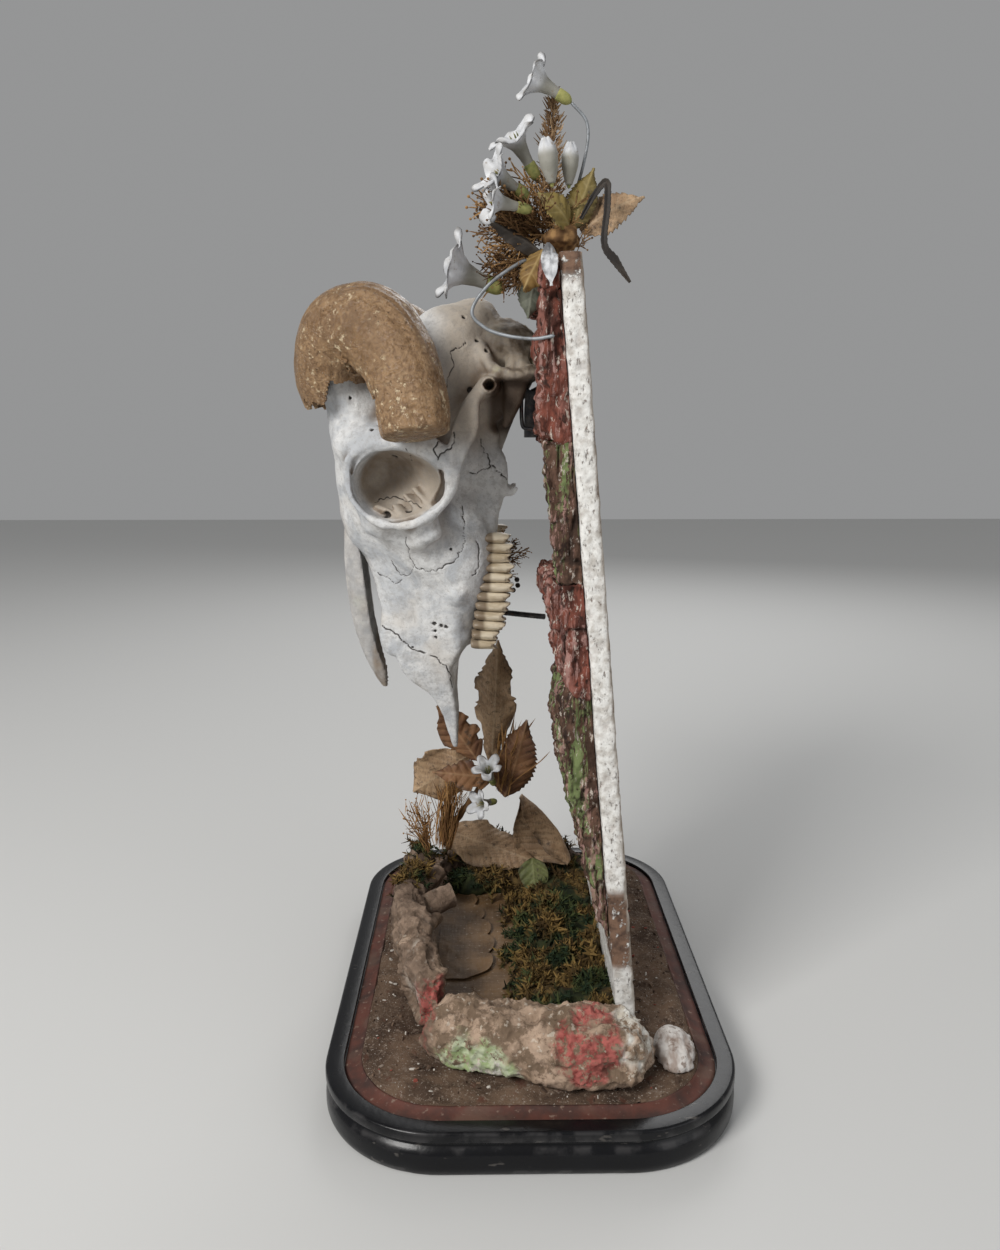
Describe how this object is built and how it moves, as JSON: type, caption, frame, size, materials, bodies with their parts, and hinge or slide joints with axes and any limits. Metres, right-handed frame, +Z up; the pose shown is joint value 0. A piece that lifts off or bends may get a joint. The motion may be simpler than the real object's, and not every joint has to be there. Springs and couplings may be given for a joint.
{
  "type": "mounted ram skull",
  "caption": "Horned ram skull hung nose down on an upright relief board, over a black oval-cornered plinth with a modelled pond, moss, dried leaves and cloth flowers.",
  "frame": {"origin": "centre of the plinth's underside", "axes": "+Z up, +X from the skull towards the board, +Y towards the far side of the skull; the skull's left side looks along -Y"},
  "size_m": [0.213, 0.302, 0.481],
  "materials": {
    "ebonised_wood": "black, satin, worn at the edges",
    "groove_paint": "dull red-brown paint",
    "soil": "dry brown soil with white chips",
    "papier_mache": "painted and crumpled",
    "pond_skin": "brown leathery paper",
    "moss": "dried moss",
    "white_paint": "chipped white paint over brown",
    "relief_red": "coarse red-brown relief",
    "relief_green": "coarse striped relief",
    "plaster_stone": "chalky",
    "bone": "bleached, matt",
    "horn_sheath": "weathered horn",
    "dark_steel": "dull dark steel",
    "grey_wire": "dull grey wire",
    "leaf_tan": "dried leaf",
    "leaf_brown": "dried leaf",
    "leaf_olive": "dried leaf",
    "leaf_dark": "dried leaf",
    "leaf_green": "dried leaf",
    "petal": "starched cloth, grey at the edges",
    "dry_grass": "dried flower heads and stalks"
  },
  "bodies": {
    "root": {"base_plinth": "ebonised_wood", "cranium": "bone", "flower_bud_back": "petal", "flower_bud_front": "petal", "flower_high": "petal", "flower_high_stem": "grey_wire", "flower_low": "petal", "flower_middle": "petal", "flower_side": "petal", "flower_side_wire": "grey_wire", "flower_upper": "petal", "groove_lining": "groove_paint", "ground_bed": "soil", "hook_bracket": "dark_steel", "horn_left": "horn_sheath", "horn_right": "horn_sheath", "low_flower_lower": "petal", "low_flower_upper": "petal", "low_grass_stalks": "dry_grass", "low_grass_tuft": "dry_grass", "low_leaf_brown": "leaf_brown", "low_leaf_folded": "leaf_tan", "low_leaf_green": "leaf_green", "low_leaf_large": "leaf_tan", "low_leaf_red": "leaf_brown", "low_leaf_strip": "leaf_tan", "low_leaf_tip": "leaf_brown", "low_leaf_triangle": "leaf_tan", "low_stalk": "leaf_brown", "moss_bank": "moss", "nasal_left": "bone", "nasal_right": "bone", "pale_stone": "plaster_stone", "petal_hanging": "petal", "pond_floor": "pond_skin", "pond_wall_back": "moss", "pond_wall_front": "papier_mache", "pond_wall_left": "papier_mache", "relief_bark_slab": "relief_green", "relief_board": "white_paint", "relief_face_strip": "relief_green", "relief_middle_block": "relief_red", "relief_top_strip": "relief_red", "relief_upper_block": "relief_red", "support_rod": "dark_steel", "top_knot": "leaf_brown", "top_leaf_broad": "leaf_tan", "top_leaf_dark": "leaf_dark", "top_leaf_grey": "leaf_green", "top_leaf_hanging": "leaf_dark", "top_leaf_olive": "leaf_olive", "top_leaf_upright": "leaf_olive", "top_leaf_yellow": "leaf_olive", "top_plume": "dry_grass", "top_spray_left": "dry_grass", "top_spray_low": "dry_grass", "wire_hook": "dark_steel"}
  },
  "joints": []
}
